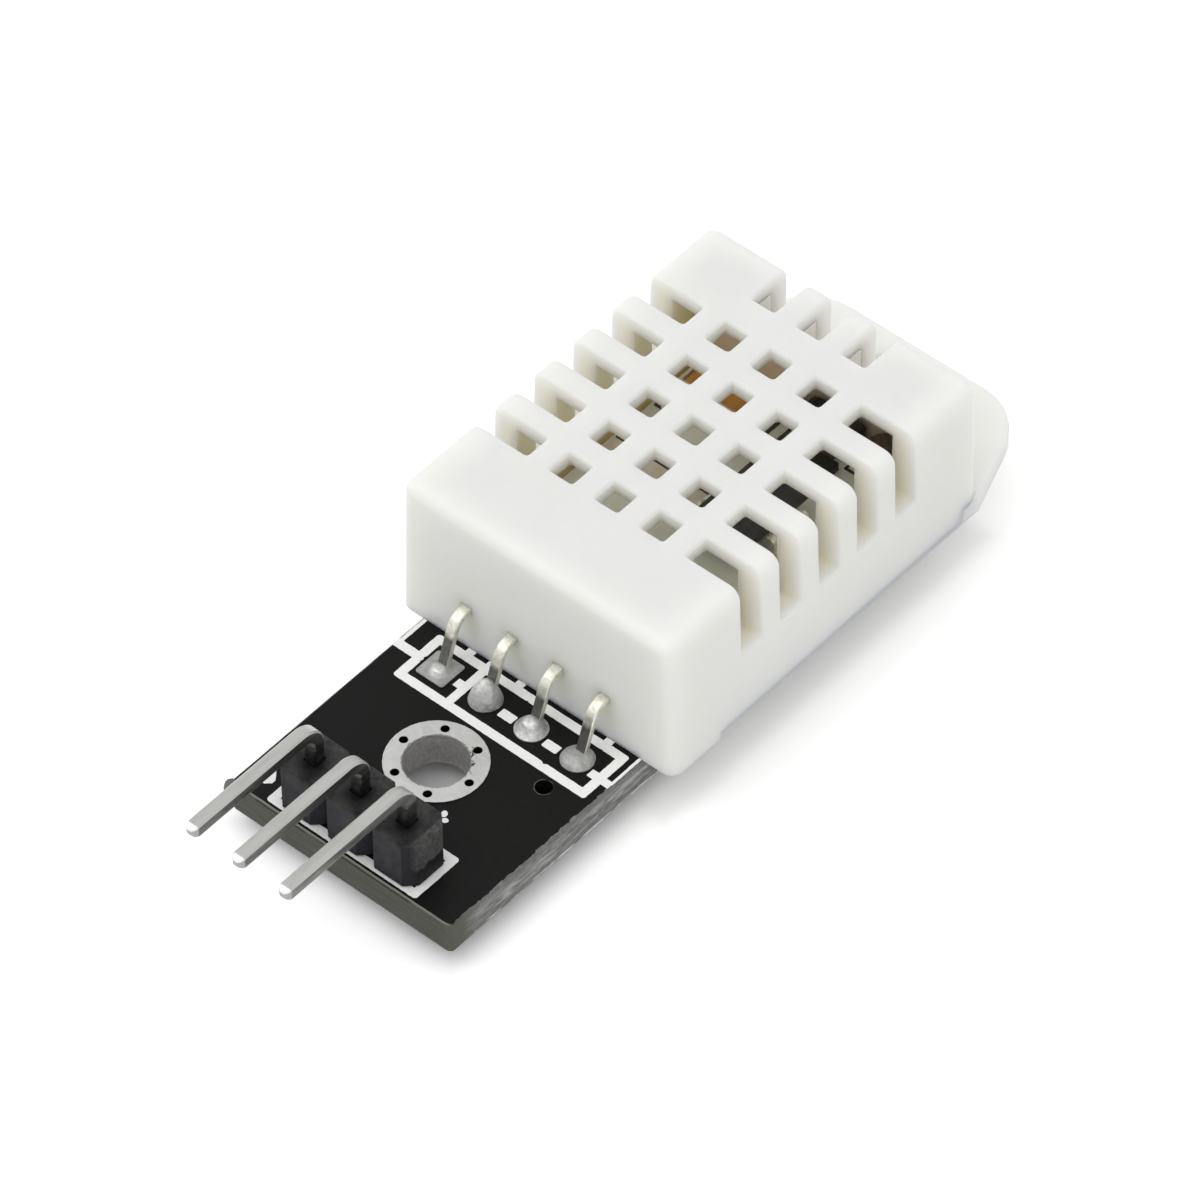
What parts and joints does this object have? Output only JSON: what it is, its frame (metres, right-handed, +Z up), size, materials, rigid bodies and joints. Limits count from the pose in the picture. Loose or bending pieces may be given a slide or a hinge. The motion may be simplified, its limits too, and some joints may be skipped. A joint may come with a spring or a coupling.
{
  "type": "temperature humidity sensor module",
  "caption": "White grille-covered temperature and humidity sensor lying on a narrow black breakout board, wired by bent leads, with a right-angle pin header and a fixing tab.",
  "frame": {"origin": "on the board's underside, straight below the middle of the sensor's lead-side face", "axes": "+Y towards the fixing tab, -Y towards the header pins' tips, +Z up out of the board towards the grille"},
  "size_m": [0.0152, 0.043, 0.0104],
  "materials": {
    "white_plastic": "moulded, slightly rough white ABS",
    "black_laminate": "glass-epoxy laminate under black solder mask, satin",
    "black_plastic": "moulded black, satin",
    "tinned_copper": "tinned copper alloy, soft metallic shine",
    "solder": "solidified tin solder, slightly mottled",
    "inner_laminate": "pale green glass-epoxy laminate",
    "amber_film": "thin amber polymer film",
    "pale_ceramic": "matt cream ceramic",
    "chip_black": "moulded black epoxy",
    "bead_epoxy": "dipped dark epoxy, glossy",
    "part_ceramic": "brown ceramic",
    "resistor_black": "black glaze or moulded black epoxy"
  },
  "bodies": {
    "root": {"bias_resistor_1": "part_ceramic", "bias_resistor_2": "resistor_black", "breakout_board": "black_laminate", "chip_lead_1": "tinned_copper", "chip_lead_2": "tinned_copper", "chip_lead_3": "tinned_copper", "chip_lead_4": "tinned_copper", "chip_lead_5": "tinned_copper", "chip_lead_6": "tinned_copper", "chip_lead_7": "tinned_copper", "chip_lead_8": "tinned_copper", "control_chip": "chip_black", "filter_capacitor": "resistor_black", "header_housing": "black_plastic", "header_pin_1": "tinned_copper", "header_pin_2": "tinned_copper", "header_pin_3": "tinned_copper", "header_solder_1": "solder", "header_solder_2": "solder", "header_solder_3": "solder", "hole_plating": "tinned_copper", "humidity_carrier": "pale_ceramic", "humidity_film": "amber_film", "lead_solder_1": "solder", "lead_solder_2": "solder", "lead_solder_3": "solder", "lead_solder_4": "solder", "pull_up_resistor": "resistor_black", "sensor_base": "white_plastic", "sensor_board": "inner_laminate", "sensor_cover": "white_plastic", "sensor_lead_1": "tinned_copper", "sensor_lead_2": "tinned_copper", "sensor_lead_3": "tinned_copper", "sensor_lead_4": "tinned_copper", "supply_capacitor": "part_ceramic", "thermistor_bead": "bead_epoxy", "thermistor_wire_1": "tinned_copper", "thermistor_wire_2": "tinned_copper"}
  },
  "joints": []
}
